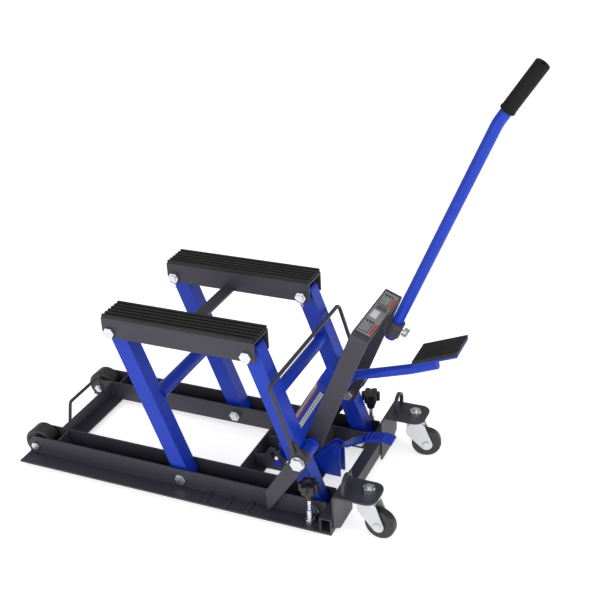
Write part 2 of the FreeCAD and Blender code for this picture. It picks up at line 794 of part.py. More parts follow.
def jack_head():
    block = box((-30, 34), (-32, 32), (JACK_COLLAR, JACK_TOP))
    block = block.makeFillet(7, [edge for edge in block.Edges if abs(edge.Length - JACK_TOP + JACK_COLLAR) < 0.1])
    gland = upright(18, (0, 0), (JACK_TOP, JACK_TOP + 7))
    plugs = [cross_rod(9, (-8, JACK_COLLAR + 16), (-36, -32)), hex_cross((14, JACK_COLLAR + 18), (-38, -32), 17)]
    bore = upright(RAM_RADIUS + RUNNING, (0, 0), (BORE_FLOOR, JACK_TOP + 10))
    return fuse(block, gland, *plugs).cut(bore)


def jack_foot():
    lug = link((0, 0), (0, 24), 14, 14, (-16, 16))
    base = upright(30, (0, 0), (26, JACK_BASE))
    pin = cross_rod(FOOT_PIN, (0, 0), (-FOOT_LUG_FACES[1] - 1, FOOT_LUG_FACES[1] + 1))
    cap_faces = (FOOT_LUG_FACES[1] + GAP, FOOT_LUG_FACES[1] + 4)
    caps = [cross_rod(10, (0, 0), side_span(side, cap_faces)) for side in SIDES]
    return fuse(lug, base, pin, *caps).cut(upright(60, (0, 0), (JACK_BASE, JACK_BASE + 10)))


def pump_pedal():
    """A treadle on a bent bar, held by one cheek on the near side of the jack head."""
    root = PEDAL_PATH[0]
    cheek = link(PEDAL_PIVOT, root, 12, 9, PEDAL_CHEEK)
    bar = bent_rod(side_points(PEDAL_PATH, PEDAL_TUBE_Y), PEDAL_TUBE, 60)
    tread = strap((PAD_REAR, PAD_FRONT), 5, (-PEDAL_HALF, PEDAL_HALF))
    return fuse(bar, tread, cheek).cut(cross_rod(5 + RUNNING, PEDAL_PIVOT, PEDAL_CHEEK))


def pump_pedal_pad():
    """A rubber mat with lengthwise ribs on the treadle."""
    raised = [(x, z + 3) for x, z in (PAD_REAR, PAD_FRONT)]
    mat = strap(raised, 3, (-PEDAL_HALF, PEDAL_HALF))
    pitch = (2 * PEDAL_HALF - 6) / 7
    top = [(x, z + 8) for x, z in (PAD_REAR, PAD_FRONT)]
    ribs = []
    for rib in range(8):
        low = -PEDAL_HALF + rib * pitch
        ribs.append(strap(top, 5, (low, low + 6)))
    return fuse(mat, *ribs)


def pump_pin():
    """The pedal's pin, with a round head outside the cheek."""
    shank = cross_rod(5, PEDAL_PIVOT, (PEDAL_CHEEK[0] - 1, -22))
    head = cross_rod(9, PEDAL_PIVOT, (PEDAL_CHEEK[0] - 3, PEDAL_CHEEK[0] - GAP))
    return fuse(shank, head)


def make_jack():
    node("jack_ram", jack_leaned(jack_ram()))
    node("jack_cylinder", jack_leaned(jack_cylinder()))
    node("jack_head", fuse(jack_leaned(jack_head()), pump_pin()))
    node("jack_foot", jack_leaned(jack_foot()))
    node("pump_pedal", pump_pedal())
    node("pump_pedal_pad", pump_pedal_pad())


# ---- Release pedal ----

def release_pedal():
    eye = cross_rod(10, RELEASE_PIVOT, (-11, 11))
    sheet = strap(RELEASE_PATH, 5, (-RELEASE_HALF, RELEASE_HALF))
    narrow = [side_box(side, (700, 768), (11, 40), (40, 120)) for side in SIDES]
    ribs = []
    for rib in range(RELEASE_RIBS):
        x = 806 + 10 * rib
        height = 113.5 + 0.5 * (x - 800) if x < 822 else 122 + (x - 821) * 6 / 37
        ribs.append(cross_rod(2.6, (x, height + 0.4), (-RELEASE_HALF + 2, RELEASE_HALF - 2)))
    pedal = fuse(eye, sheet.cut(narrow), *ribs)
    return pedal.cut(cross_rod(AXLE + RUNNING, RELEASE_PIVOT, (-20, 20)))


make_base()
make_running_gear()
make_arms()
make_saddle()
make_lock()
make_stirrup()
make_jack()
node("release_pedal", release_pedal())

os.makedirs("parts", exist_ok=True)
for name, shape in PARTS.items():
    shape.translate(MOVE_TO_ORIGIN)
    shape.exportStep("parts/" + name + ".step")
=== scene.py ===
import json
import math

import bmesh
import bpy
from mathutils import Matrix, Vector


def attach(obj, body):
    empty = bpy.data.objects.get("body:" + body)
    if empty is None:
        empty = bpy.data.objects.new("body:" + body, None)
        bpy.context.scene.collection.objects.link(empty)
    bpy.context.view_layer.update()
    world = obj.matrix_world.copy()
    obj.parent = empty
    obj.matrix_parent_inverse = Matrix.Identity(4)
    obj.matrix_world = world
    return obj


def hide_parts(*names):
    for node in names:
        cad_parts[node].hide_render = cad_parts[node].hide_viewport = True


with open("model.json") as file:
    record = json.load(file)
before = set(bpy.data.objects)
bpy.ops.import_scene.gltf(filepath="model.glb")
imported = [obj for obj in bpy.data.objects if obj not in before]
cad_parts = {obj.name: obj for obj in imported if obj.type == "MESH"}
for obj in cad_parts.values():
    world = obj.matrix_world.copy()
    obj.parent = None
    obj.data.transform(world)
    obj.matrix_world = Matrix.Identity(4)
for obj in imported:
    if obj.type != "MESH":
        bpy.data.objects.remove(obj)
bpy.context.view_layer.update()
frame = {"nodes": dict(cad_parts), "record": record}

# The frame's origin in millimetres from the drawing's zero, the rails' rear end and underside.
ORIGIN_X = 579.1
ORIGIN_Z = -14.0
SIDES = (-1, 1)

# Places and sizes shared with the part, in millimetres.
FRONT_PIVOT = (752, 24)
REAR_PIVOT = (421, 24)
STIRRUP_PIVOT = (729.1, 154)
STIRRUP_LEAN = 22.3
STIRRUP_TOP = 306
RAM_PIN_ALONG = 282.1
JACK_FOOT = (608, 25)
JACK_RADIUS = 32
ARM_LEAN = -20
ARM_LENGTH = 387.3
ARM_INNER_FACE = 123.25
INNER_WALL_FACE = 112
CROSSBAR_PLACES = (54, 540, 679)
SADDLE_BAR = (420, 450)
GRIP_END = (1160.6, 985.8)
HANDLE_BEND = (1086, 874)
SCREW_PLACE = (751.5, 192)
SCREW_ENDS = (2, 84)
SCREW_CORE = 4.4
THREAD_RIDGE = 0.58
THREAD_PITCH = 3.0
THREAD_TURNS = 20.0


def place(x, y, z):
    """A point of the drawing, in millimetres, as a point of the frame in metres."""
    return Vector(((x - ORIGIN_X) / 1000, y / 1000, (z - ORIGIN_Z) / 1000))


def along_lean(foot, lean, along, across=0):
    """The (x, z) reached from foot along a leaned line and across it."""
    angle = math.radians(lean)
    x = foot[0] + along * math.sin(angle) + across * math.cos(angle)
    z = foot[1] + along * math.cos(angle) - across * math.sin(angle)
    return x, z


def leaned_place(foot, lean, across, y, along):
    """A point of the frame, given along and across a leaned line that starts at foot."""
    x, z = along_lean(foot, lean, along, across)
    return place(x, y, z)


RAM_PIN_PLACE = along_lean(STIRRUP_PIVOT, STIRRUP_LEAN, RAM_PIN_ALONG)
JACK_LEAN = math.degrees(math.atan2(RAM_PIN_PLACE[0] - JACK_FOOT[0], RAM_PIN_PLACE[1] - JACK_FOOT[1]))


# ---- Shader groups ----

def new_group(name, inputs, outputs):
    """A shader node group with named value inputs and named outputs."""
    group = bpy.data.node_groups.new(name, "ShaderNodeTree")
    for label, kind, default in inputs:
        socket = group.interface.new_socket(label, in_out="INPUT", socket_type=kind)
        if default is not None:
            socket.default_value = default
    for label, kind in outputs:
        group.interface.new_socket(label, in_out="OUTPUT", socket_type=kind)
    start = group.nodes.new("NodeGroupInput")
    end = group.nodes.new("NodeGroupOutput")
    return group, start, end


def noise_node(tree, vector, scale, detail=2.0, roughness=0.5):
    node = tree.nodes.new("ShaderNodeTexNoise")
    node.inputs["Detail"].default_value = detail
    node.inputs["Roughness"].default_value = roughness
    tree.links.new(vector, node.inputs["Vector"])
    if isinstance(scale, (int, float)):
        node.inputs["Scale"].default_value = scale
    else:
        tree.links.new(scale, node.inputs["Scale"])
    return node


def range_node(tree, value, from_low, from_high, to_low, to_high):
    node = tree.nodes.new("ShaderNodeMapRange")
    tree.links.new(value, node.inputs["Value"])
    limits = {"From Min": from_low, "From Max": from_high, "To Min": to_low, "To Max": to_high}
    for label, number in limits.items():
        node.inputs[label].default_value = number
    return node.outputs["Result"]


def math_node(tree, operation, first, second):
    node = tree.nodes.new("ShaderNodeMath")
    node.operation = operation
    for index, value in enumerate((first, second)):
        if isinstance(value, (int, float)):
            node.inputs[index].default_value = value
        else:
            tree.links.new(value, node.inputs[index])
    return node.outputs["Value"]


def build_grain_group():
    """Orange-peel height and a slow mottle, for paint, plastic and plate."""
    group, start, end = new_group(
        "surface_grain",
        [("Grain Scale", "NodeSocketFloat", 900.0), ("Mottle Scale", "NodeSocketFloat", 14.0)],
        [("Grain", "NodeSocketFloat"), ("Mottle", "NodeSocketFloat")])
    coords = group.nodes.new("ShaderNodeTexCoord").outputs["Object"]
    grain = noise_node(group, coords, start.outputs["Grain Scale"], 3.0)
    mottle = noise_node(group, coords, start.outputs["Mottle Scale"], 4.0, 0.6)
    group.links.new(grain.outputs["Fac"], end.inputs["Grain"])
    group.links.new(range_node(group, mottle.outputs["Fac"], 0.3, 0.7, 0.0, 1.0), end.inputs["Mottle"])
    return group


def build_edge_group():
    """A softened normal for folded and sawn edges, and a mask that is 1 on them."""
    group, start, end = new_group(
        "soft_edges",
        [("Radius", "NodeSocketFloat", 0.0012)],
        [("Edge", "NodeSocketFloat"), ("Normal", "NodeSocketVector")])
    bevel = group.nodes.new("ShaderNodeBevel")
    bevel.samples = 6
    group.links.new(start.outputs["Radius"], bevel.inputs["Radius"])
    flat = group.nodes.new("ShaderNodeNewGeometry").outputs["True Normal"]
    dot = group.nodes.new("ShaderNodeVectorMath")
    dot.operation = "DOT_PRODUCT"
    group.links.new(bevel.outputs["Normal"], dot.inputs[0])
    group.links.new(flat, dot.inputs[1])
    mask = range_node(group, dot.outputs["Value"], 0.97, 0.8, 0.0, 1.0)
    group.links.new(mask, end.inputs["Edge"])
    group.links.new(bevel.outputs["Normal"], end.inputs["Normal"])
    return group


def build_scuff_group():
    """Fine scratches and handling marks, broken up by a slow noise."""
    group, start, end = new_group(
        "handling_scuffs",
        [("Scale", "NodeSocketFloat", 60.0)],
        [("Scuff", "NodeSocketFloat")])
    coords = group.nodes.new("ShaderNodeTexCoord").outputs["Object"]
    stretch = group.nodes.new("ShaderNodeMapping")
    stretch.inputs["Scale"].default_value = (1.0, 7.0, 3.0)
    stretch.inputs["Rotation"].default_value = (0.3, 0.5, 0.2)
    group.links.new(coords, stretch.inputs["Vector"])
    lines = noise_node(group, stretch.outputs["Vector"], start.outputs["Scale"], 5.0, 0.65)
    areas = noise_node(group, coords, 9.0, 2.0)
    thin = range_node(group, lines.outputs["Fac"], 0.60, 0.72, 0.0, 1.0)
    near = range_node(group, areas.outputs["Fac"], 0.48, 0.66, 0.0, 1.0)
    group.links.new(math_node(group, "MULTIPLY", thin, near), end.inputs["Scuff"])
    return group


GRAIN = build_grain_group()
EDGES = build_edge_group()
SCUFFS = build_scuff_group()


def use_group(tree, group, **values):
    node = tree.nodes.new("ShaderNodeGroup")
    node.node_tree = group
    for label, number in values.items():
        node.inputs[label.replace("_", " ")].default_value = number
    return node


def mix_colour(tree, mask, low, high):
    node = tree.nodes.new("ShaderNodeMix")
    node.data_type = "RGBA"
    sockets = [socket for socket in node.inputs if socket.type == "RGBA"]
    for socket, colour in zip(sockets, (low, high)):
        if isinstance(colour, tuple):
            socket.default_value = (*colour, 1.0)
        else:
            tree.links.new(colour, socket)
    tree.links.new(mask, node.inputs["Factor"])
    return [socket for socket in node.outputs if socket.type == "RGBA"][0]


def finish_material(name, colour, wear_and_highlight, roughness, metallic=0.0, coat=0.0, specular=0.5,
                    grain_scale=900.0, mottle_scale=14.0, bump=0.00004, edge_radius=0.0012,
                    edge_strength=0.5, scuff_strength=0.25, mottle_strength=0.3):
    """A painted, plated or moulded finish: mottled colour, edges and scuffs mixed towards a lighter colour
    (edge wear and scratches, with a painted highlight along every edge), and grain.
    """
    material = bpy.data.materials.new(name)
    material.use_nodes = True
    tree = material.node_tree
    shader = tree.nodes["Principled BSDF"]
    shader.inputs["Metallic"].default_value = metallic
    shader.inputs["Coat Weight"].default_value = coat
    shader.inputs["Coat Roughness"].default_value = 0.2
    shader.inputs["Specular IOR Level"].default_value = specular
    grain = use_group(tree, GRAIN, Grain_Scale=grain_scale, Mottle_Scale=mottle_scale)
    edges = use_group(tree, EDGES, Radius=edge_radius)
    scuffs = use_group(tree, SCUFFS)
    deeper = tuple(channel * 0.72 for channel in colour)
    mottle = math_node(tree, "MULTIPLY", grain.outputs["Mottle"], mottle_strength)
    paint = mix_colour(tree, mottle, colour, deeper)
    # Edges are mixed towards the lighter colour: partly edge wear, partly a painted highlight along every
    # edge.
    edge_wear_and_highlight_mask = math_node(tree, "MULTIPLY", edges.outputs["Edge"], edge_strength)
    scuff_mask = math_node(tree, "MULTIPLY", scuffs.outputs["Scuff"], scuff_strength)
    marked = mix_colour(tree, scuff_mask, mix_colour(tree, edge_wear_and_highlight_mask, paint, wear_and_highlight), wear_and_highlight)
    tree.links.new(marked, shader.inputs["Base Color"])
    rough = range_node(tree, grain.outputs["Mottle"], 0.0, 1.0, roughness[0], roughness[1])
    rubbing = math_node(tree, "MULTIPLY", scuffs.outputs["Scuff"], 0.08)
    tree.links.new(math_node(tree, "ADD", rough, rubbing), shader.inputs["Roughness"])
    relief = tree.nodes.new("ShaderNodeBump")
    relief.inputs["Distance"].default_value = bump
    tree.links.new(grain.outputs["Grain"], relief.inputs["Height"])
    tree.links.new(edges.outputs["Normal"], relief.inputs["Normal"])
    tree.links.new(relief.outputs["Normal"], shader.inputs["Normal"])
    return material


# ---- Finishes ----

# Each finish: its colour, a lighter colour for scuffs and edges (edge wear plus a painted edge highlight),
# and a roughness range.
MATERIALS = {
    "powder_grey": finish_material(
        "charcoal_powder_coat", (0.036, 0.034, 0.047), (0.085, 0.083, 0.10), (0.40, 0.52),
        specular=0.35, edge_radius=0.0014),
    "powder_blue": finish_material(
        "royal_blue_powder_coat", (0.001, 0.030, 0.39), (0.006, 0.06, 0.54), (0.38, 0.50),
        specular=0.3, coat=0.05, edge_radius=0.0028, edge_strength=0.35, scuff_strength=0.12),
    "zinc": finish_material(
        "bright_zinc_plate", (0.66, 0.68, 0.70), (0.85, 0.86, 0.87), (0.20, 0.36),
        metallic=1.0, grain_scale=500.0, mottle_scale=90.0, bump=0.00003, edge_radius=0.0008),
    "fork_silver": finish_material(
        "silver_pressed_steel", (0.60, 0.61, 0.63), (0.75, 0.76, 0.78), (0.30, 0.42),
        metallic=0.25, edge_radius=0.0012, scuff_strength=0.15),
    "chrome": finish_material(
        "hard_chrome_rod", (0.78, 0.79, 0.80), (0.9, 0.9, 0.9), (0.05, 0.12),
        metallic=1.0, bump=0.000005, mottle_strength=0.1),
    "pad_rubber": finish_material(
        "ribbed_saddle_rubber", (0.0085, 0.0085, 0.009), (0.03, 0.03, 0.031), (0.5, 0.68),
        specular=0.35, grain_scale=1500.0, bump=0.00008, edge_radius=0.0008),
    "grip_rubber": finish_material(
        "soft_grip_foam", (0.005, 0.005, 0.0052), (0.018, 0.018, 0.019), (0.6, 0.8),
        specular=0.2, grain_scale=1900.0, bump=0.00018, edge_radius=0.0012),
    "black_plastic": finish_material(
        "moulded_black_plastic", (0.012, 0.012, 0.013), (0.035, 0.035, 0.037), (0.30, 0.46),
        grain_scale=1100.0, bump=0.00003, edge_radius=0.0015),
    "wheel_black": finish_material(
        "hard_caster_rubber", (0.011, 0.011, 0.012), (0.04, 0.04, 0.042), (0.32, 0.5),
        grain_scale=1300.0, bump=0.00004, edge_radius=0.0010),
}
WELD = finish_material(
    "painted_weld_bead", (0.033, 0.031, 0.042), (0.08, 0.08, 0.09), (0.40, 0.50), edge_strength=0.2)
WELD_BLUE = finish_material(
    "blue_painted_weld_bead", (0.001, 0.027, 0.35), (0.006, 0.05, 0.48), (0.40, 0.52), edge_strength=0.2)
WIRE = finish_material(
    "zinc_spring_wire", (0.6, 0.62, 0.64), (0.85, 0.85, 0.86), (0.2, 0.35), metallic=1.0)
SEAL = finish_material("black_oil_seal", (0.014, 0.014, 0.015), (0.03, 0.03, 0.03), (0.35, 0.5))
PRINT = {
    "silver": finish_material(
        "label_silver_film", (0.22, 0.22, 0.225), (0.3, 0.3, 0.3), (0.35, 0.5),
        edge_strength=0.1, scuff_strength=0.1),
    "dark": finish_material(
        "label_dark_print", (0.03, 0.03, 0.033), (0.06, 0.06, 0.06), (0.35, 0.5), edge_strength=0.1),
    "light": finish_material(
        "label_light_print", (0.62, 0.62, 0.62), (0.7, 0.7, 0.7), (0.35, 0.5),
        edge_strength=0.1, scuff_strength=0.1),
    "red": finish_material(
        "label_red_print", (0.42, 0.035, 0.018), (0.5, 0.1, 0.07), (0.35, 0.5), edge_strength=0.1),
}


def paint_cad_nodes():
    """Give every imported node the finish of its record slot."""
    slots = {part["node"]: part["material_slot"] for part in frame["record"]["subparts"]}
    for name, node in frame["nodes"].items():
        material = MATERIALS[slots[name]]
        if not node.material_slots:
            node.data.materials.append(material)
        for entry in node.material_slots:
            entry.material = material


# ---- Mesh helpers ----

def piece(name, mesh, body, slot_name, *materials):
    """A finished mesh object that rides on a body."""
    mesh.name = name
    thing = bpy.data.objects.new(name, mesh)
    bpy.context.scene.collection.objects.link(thing)
    for material in materials:
        if material.name not in [held.name for held in mesh.materials if held]:
            mesh.materials.append(material)
    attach(thing, body)
    return thing


def add_block(build, corners, material_index):
    """A closed six-sided block from eight corners: four of the bottom, then four of the top."""
    verts = [build.verts.new(corner) for corner in corners]
    for loop in ((3, 2, 1, 0), (4, 5, 6, 7), (0, 1, 5, 4), (1, 2, 6, 5), (2, 3, 7, 6), (3, 0, 4, 7)):
        face = build.faces.new([verts[index] for index in loop])
        face.material_index = material_index


def finish_mesh(build, name):
    bmesh.ops.recalc_face_normals(build, faces=build.faces)
    mesh = bpy.data.meshes.new(name)
    build.to_mesh(mesh)
    build.free()
    return mesh


def wire_object(paths, radius):
    """A temporary curve object through the given paths, with a round section."""
    curve = bpy.data.curves.new("wire_paths", "CURVE")
    curve.dimensions = "3D"
    curve.bevel_depth = radius
    curve.bevel_resolution = 3
    curve.use_fill_caps = True
    for path in paths:
        spline = curve.splines.new("NURBS")
        spline.points.add(len(path) - 1)
        for point, where in zip(spline.points, path):
            point.co = (*where, 1.0)
        spline.order_u = 3
        spline.use_endpoint_u = True
        spline.resolution_u = 6
    thing = bpy.data.objects.new("wire_paths", curve)
    bpy.context.scene.collection.objects.link(thing)
    return thing


def take_mesh(thing):
    """The evaluated mesh of a temporary object, which is then removed."""
    bpy.context.view_layer.update()
    graph = bpy.context.evaluated_depsgraph_get()
    mesh = bpy.data.meshes.new_from_object(thing.evaluated_get(graph))
    bpy.data.objects.remove(thing)
    return mesh


# ---- Geometry Nodes: weld beads and screw threads ----

def new_tree(name, inputs):
    tree = bpy.data.node_groups.new(name, "GeometryNodeTree")
    tree.interface.new_socket("Geometry", in_out="INPUT", socket_type="NodeSocketGeometry")
    for label, kind, default in inputs:
        socket = tree.interface.new_socket(label, in_out="INPUT", socket_type=kind)
        if default is not None:
            socket.default_value = default
    tree.interface.new_socket("Geometry", in_out="OUTPUT", socket_type="NodeSocketGeometry")
    return tree, tree.nodes.new("NodeGroupInput"), tree.nodes.new("NodeGroupOutput")


def close_tree(tree, start, end, geometry):
    """Ends a tree in Realize Instances and Set Material."""
    realize = tree.nodes.new("GeometryNodeRealizeInstances")
    colour = tree.nodes.new("GeometryNodeSetMaterial")
    tree.links.new(geometry, realize.inputs["Geometry"])
    tree.links.new(realize.outputs["Geometry"], colour.inputs["Geometry"])
    tree.links.new(start.outputs["Finish"], colour.inputs["Material"])
    tree.links.new(colour.outputs["Geometry"], end.inputs["Geometry"])


def build_weld_tree():
    """Overlapping beads along every curve."""
    tree, start, end = new_tree("weld_bead", [
        ("Bead Radius", "NodeSocketFloat", 0.002), ("Bead Spacing", "NodeSocketFloat", 0.002),
        ("Finish", "NodeSocketMaterial", None)])
    resample = tree.nodes.new("GeometryNodeResampleCurve")
    resample.mode = "LENGTH"
    bead = tree.nodes.new("GeometryNodeMeshIcoSphere")
    bead.inputs["Subdivisions"].default_value = 2
    shade = tree.nodes.new("GeometryNodeSetShadeSmooth")
    spread = tree.nodes.new("GeometryNodeInstanceOnPoints")
    vary = tree.nodes.new("FunctionNodeRandomValue")
    vary.data_type = "FLOAT"
    low, high = [socket for socket in vary.inputs if socket.type == "VALUE"][:2]
    low.default_value = 0.82
    high.default_value = 1.12
    vary.inputs["Seed"].default_value = 4
    tree.links.new(start.outputs["Geometry"], resample.inputs["Curve"])
    tree.links.new(start.outputs["Bead Spacing"], resample.inputs["Length"])
    tree.links.new(start.outputs["Bead Radius"], bead.inputs["Radius"])
    tree.links.new(bead.outputs["Mesh"], shade.inputs["Geometry"])
    tree.links.new(resample.outputs["Curve"], spread.inputs["Points"])
    tree.links.new(shade.outputs["Geometry"], spread.inputs["Instance"])
    tree.links.new([socket for socket in vary.outputs if socket.type == "VALUE"][0], spread.inputs["Scale"])
    close_tree(tree, start, end, spread.outputs["Instances"])
    return tree


def build_thread_tree():
    """A helical thread ridge of given radius, pitch and length, standing along Z."""
    tree, start, end = new_tree("screw_thread", [
        ("Thread Radius", "NodeSocketFloat", 0.005), ("Turns", "NodeSocketFloat", 20.0),
        ("Length", "NodeSocketFloat", 0.05), ("Ridge", "NodeSocketFloat", 0.0006),
        ("Finish", "NodeSocketMaterial", None)])
    helix = tree.nodes.new("GeometryNodeCurveSpiral")
    helix.inputs["Resolution"].default_value = 14
    ridge = tree.nodes.new("GeometryNodeCurvePrimitiveCircle")
    ridge.inputs["Resolution"].default_value = 5
    sweep = tree.nodes.new("GeometryNodeCurveToMesh")
    sweep.inputs["Fill Caps"].default_value = True
    tree.links.new(start.outputs["Thread Radius"], helix.inputs["Start Radius"])
    tree.links.new(start.outputs["Thread Radius"], helix.inputs["End Radius"])
    tree.links.new(start.outputs["Turns"], helix.inputs["Rotations"])
    tree.links.new(start.outputs["Length"], helix.inputs["Height"])
    tree.links.new(start.outputs["Ridge"], ridge.inputs["Radius"])
    tree.links.new(helix.outputs["Curve"], sweep.inputs["Curve"])
    tree.links.new(ridge.outputs["Curve"], sweep.inputs["Profile Curve"])
    close_tree(tree, start, end, sweep.outputs["Mesh"])
    return tree


WELD_TREE = build_weld_tree()
THREAD_TREE = build_thread_tree()


def run_tree(thing, tree, **values):
    """Runs a Geometry Nodes tree on a temporary object and returns the plain mesh."""
    modifier = thing.modifiers.new("shape", "NODES")
    modifier.node_group = tree
    for label, value in values.items():
        wanted = label.replace("_", " ")
        for item in tree.interface.items_tree:
            if item.in_out == "INPUT" and item.name == wanted:
                modifier[item.identifier] = value
    return take_mesh(thing)


def ring_path(x, z, y, radius, count=24):
    """Points of a closed ring in the XZ plane, drawn in millimetres."""
    points = []
    for step in range(count):
        angle = 2 * math.pi * step / count
        points.append(place(x + radius * math.cos(angle), y, z + radius * math.sin(angle)))
    return points


def weld_piece(name, body, slot_name, material, open_paths=(), rings=(), bead=1.6):
    """Weld beads along open seams and round tube ends."""
    curve = bpy.data.curves.new(name, "CURVE")
    curve.dimensions = "3D"
    for path, cyclic in [(path, False) for path in open_paths] + [(path, True) for path in rings]:
        spline = curve.splines.new("POLY")
        spline.points.add(len(path) - 1)
        for point, where in zip(spline.points, path):
            point.co = (*where, 1.0)
        spline.use_cyclic_u = cyclic
    thing = bpy.data.objects.new(name, curve)
    bpy.context.scene.collection.objects.link(thing)
    mesh = run_tree(thing, WELD_TREE, Bead_Radius=bead / 1000, Bead_Spacing=bead * 1.1 / 1000,
                    Finish=material)
    return piece(name, mesh, body, slot_name, material)


def make_welds():
    seams = []
    for bar_x in CROSSBAR_PLACES:
        for side in SIDES:
            y = side * (INNER_WALL_FACE - 0.6)
            seams.append([place(bar_x + 4.5, y, 5), place(bar_x + 4.5, y, 41)])
            seams.append([place(bar_x + 5, y, 4.4), place(bar_x + 34, y, 4.4)])
    for side in SIDES:
        seams.append([place(809.3, side * 204, 41), place(809.3, side * 99, 40.8)])
    weld_piece("frame_weld_beads", "base", "powder_grey", WELD, seams)
    front_tube = arm_place(FRONT_PIVOT, 272)
    rear_tube = arm_place(REAR_PIVOT, 199, 7)
    inner = ARM_INNER_FACE - 0.8
    weld_piece("front_arm_weld_beads", "front_arms", "powder_blue", WELD_BLUE,
               rings=[ring_path(*front_tube, side * inner, 14.6) for side in SIDES]
               + [ring_path(*STIRRUP_PIVOT, side * inner, 16.5) for side in SIDES], bead=1.8)
    weld_piece("rear_arm_weld_beads", "rear_arms", "powder_blue", WELD_BLUE,
               rings=[ring_path(*rear_tube, side * inner, 17.1) for side in SIDES], bead=1.8)
    bar_seams = []
    for side in SIDES:
        y = side * 108.9
        for height in (385.2, 378.8):
            bar_seams.append([place(x, y, height) for x in SADDLE_BAR])
    weld_piece("saddle_weld_beads", "saddle", "powder_grey", WELD, bar_seams)


def arm_place(pivot, along, across=0):
    return along_lean(pivot, ARM_LEAN, along, across)


def make_floor_screws():
    """Threaded rods that stand for the plain screws, and no wider over their threads."""
    bottom, top = SCREW_ENDS
    for side, name in zip(SIDES, ("near", "far")):
        body = "floor_screw_" + name
        foot = place(SCREW_PLACE[0], side * SCREW_PLACE[1], bottom)
        profile = ((0, SCREW_CORE - 0.8), (0.8, SCREW_CORE), (top - bottom, SCREW_CORE))
        core = lathe("floor_screw_core_" + name, foot, Vector((0, 0, 1)), profile, body, "zinc",
                     MATERIALS["zinc"])
        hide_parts(body)
        blank = bpy.data.meshes.new("thread_blank")
        thing = bpy.data.objects.new("thread_blank", blank)
        bpy.context.scene.collection.objects.link(thing)
        mesh = run_tree(thing, THREAD_TREE, Thread_Radius=SCREW_CORE / 1000, Turns=THREAD_TURNS,
                        Length=THREAD_TURNS * THREAD_PITCH / 1000, Ridge=THREAD_RIDGE / 1000,
                        Finish=MATERIALS["zinc"])
        mesh.transform(Matrix.Translation(foot + Vector((0, 0, THREAD_PITCH / 1000))))
        mesh.shade_smooth()
        piece("floor_screw_thread_" + name, mesh, body, "zinc", MATERIALS["zinc"])


# ---- Labels with plain bars and blocks ----

def stirrup_label():
    """A silver film on the stirrup's head with generic printed bars."""
    build = bmesh.new()
    finishes = ["silver", "dark", "light", "red"]

    def bar(kind, across, y_span, lift):
        corners = []
        for along in (STIRRUP_TOP + 0.05, STIRRUP_TOP + lift):
            for x, y in ((across[0], y_span[0]), (across[1], y_span[0]), (across[1], y_span[1]),
                         (across[0], y_span[1])):
                corners.append(leaned_place(STIRRUP_PIVOT, STIRRUP_LEAN, x, y, along))
        add_block(build, corners, finishes.index(kind))

    bar("silver", (-17, 17), (-92, 92), 0.35)
    for centre in (-62, 58):
        bar("dark", (-15, 7), (centre - 24, centre + 24), 0.5)
        bar("red", (10, 15.5), (centre - 24, centre + 20), 0.55)
        for line in range(8):
            across = -13.5 + line * 2.5
            reach = 21 - 4 * (line % 3)
            bar("light", (across, across + 0.8), (centre - 21, centre + reach), 0.6)
    bar("light", (-12, 3), (-24, 8), 0.5)
    for line in range(9):
        y = 13 + line * 2
        bar("dark", (-12, 12), (y, y + 0.8), 0.55)
    mesh = finish_mesh(build, "stirrup_label")
    for kind in finishes:
        mesh.materials.append(PRINT[kind])
    piece("stirrup_label", mesh, "stirrup", "powder_grey")


def jack_label():
    """Bands of film along the jack's cylinder, with generic blocks."""
    build = bmesh.new()
    finishes = ["silver", "dark", "light", "red"]

    def patch(kind, turn_span, along_span, lift):
        count = 10
        rows = []
        for step in range(count + 1):
            turn = math.radians(turn_span[0] + (turn_span[1] - turn_span[0]) * step / count)
            row = []
            for radius, along in ((0.05, 0), (0.05, 1), (lift, 1), (lift, 0)):
                reach = JACK_RADIUS + radius
                where = leaned_place(JACK_FOOT, JACK_LEAN, -reach * math.sin(turn), -reach * math.cos(turn),
                                     along_span[along])
                row.append(build.verts.new(where))
            rows.append(row)
        for first, second in zip(rows, rows[1:]):
            for index in range(4):
                following = (index + 1) % 4
                face = build.faces.new((first[index], second[index], second[following], first[following]))
                face.material_index = finishes.index(kind)
        for row in (rows[0], rows[-1]):
            build.faces.new(row).material_index = finishes.index(kind)

    patch("light", (52, 84), (70, 236), 0.3)
    for band in range(6):
        patch("dark", (57 + band * 4, 59.5 + band * 4), (78, 228 - 14 * (band % 3)), 0.45)
    patch("red", (40, 50), (70, 236), 0.35)
    patch("light", (4, 22), (70, 236), 0.3)
    for band in range(20):
        low = 76 + band * 8
        patch("silver", (7, 19), (low, low + 4), 0.45)
    mesh = finish_mesh(build, "jack_label")
    for kind in finishes:
        mesh.materials.append(PRINT[kind])
    piece("jack_label", mesh, "jack", "powder_blue")


# ---- Small parts ----

def clip_path(x, y, z):
    """A hairpin clip hanging from a bolt's nut."""
    outline = ((-9, 5), (-4, 2), (3, 1), (8, -3), (6, -9), (1, -9), (0, -4), (4, -1))
    return [place(x + across, y, z - 13 + up) for across, up in outline]


def make_clips():
    """Hairpin clips through the inner ends of the pivot bolts."""
    rear_top = arm_place(REAR_PIVOT, ARM_LENGTH)
    front_top = arm_place(FRONT_PIVOT, ARM_LENGTH)
    saddle_clips = [clip_path(x, side * 99.2, z) for side in SIDES for x, z in (rear_top, front_top)]
    mesh = take_mesh(wire_object(saddle_clips, 0.0009))
    piece("saddle_bolt_clips", mesh, "saddle", "zinc", WIRE)
    base_clips = [clip_path(x, side * 101.6, z + 14) for side in SIDES for x, z in (REAR_PIVOT, FRONT_PIVOT)]
    mesh = take_mesh(wire_object(base_clips, 0.0009))
    piece("frame_bolt_clips", mesh, "base", "zinc", WIRE)


